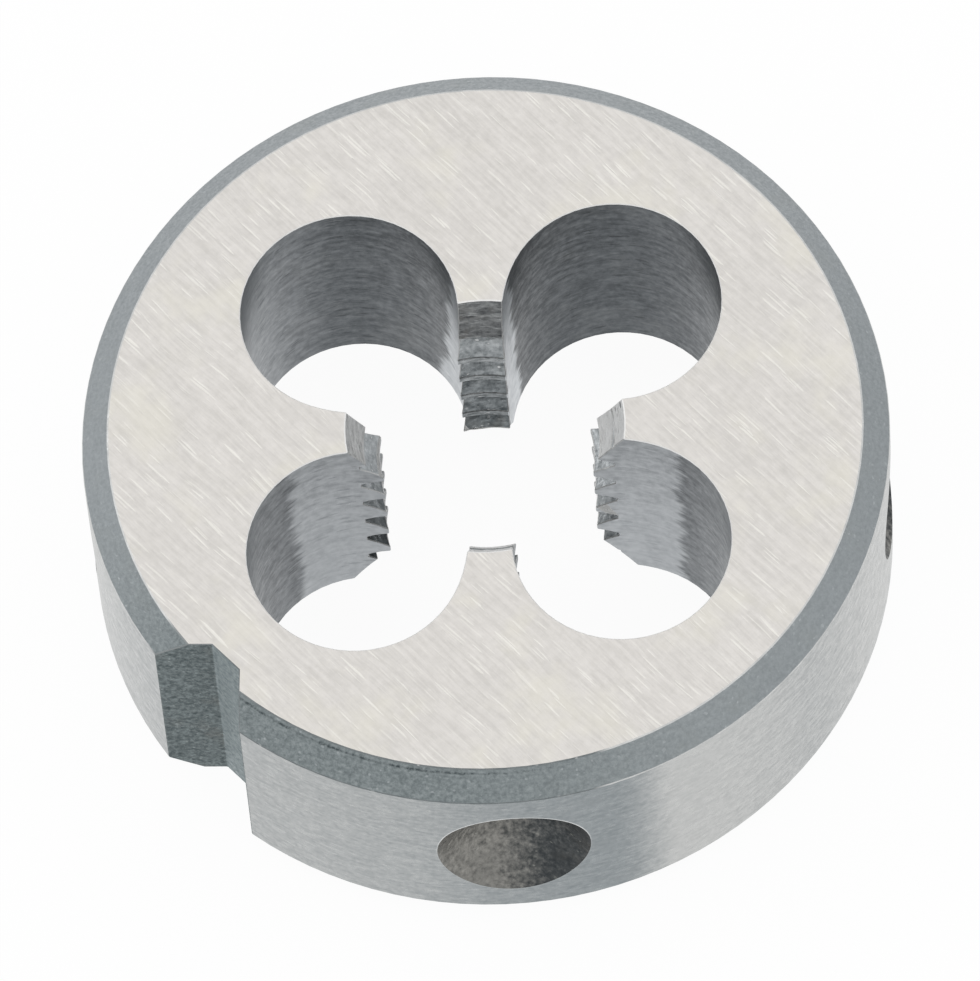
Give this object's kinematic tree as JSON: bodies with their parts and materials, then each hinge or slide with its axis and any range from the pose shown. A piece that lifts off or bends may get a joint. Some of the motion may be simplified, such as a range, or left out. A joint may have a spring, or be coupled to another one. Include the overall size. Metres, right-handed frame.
{
  "type": "round threading die",
  "caption": "Round steel threading die: a bevelled disc whose threaded centre opens into chip holes, with an adjusting notch and conical screw seats round its rim.",
  "frame": {"origin": "on the thread axis, in the plane of the lower face", "axes": "+Z along the thread axis, out of the upper face; the four lands lie on the X and Y axes, and the adjusting notch lies about half way between -X and -Y"},
  "size_m": [0.025, 0.025, 0.009],
  "materials": {
    "tool_steel": "ground faces and rim, dull bevels and notch, bored chip holes"
  },
  "bodies": {
    "root": {"die_body": "tool_steel"}
  },
  "joints": []
}
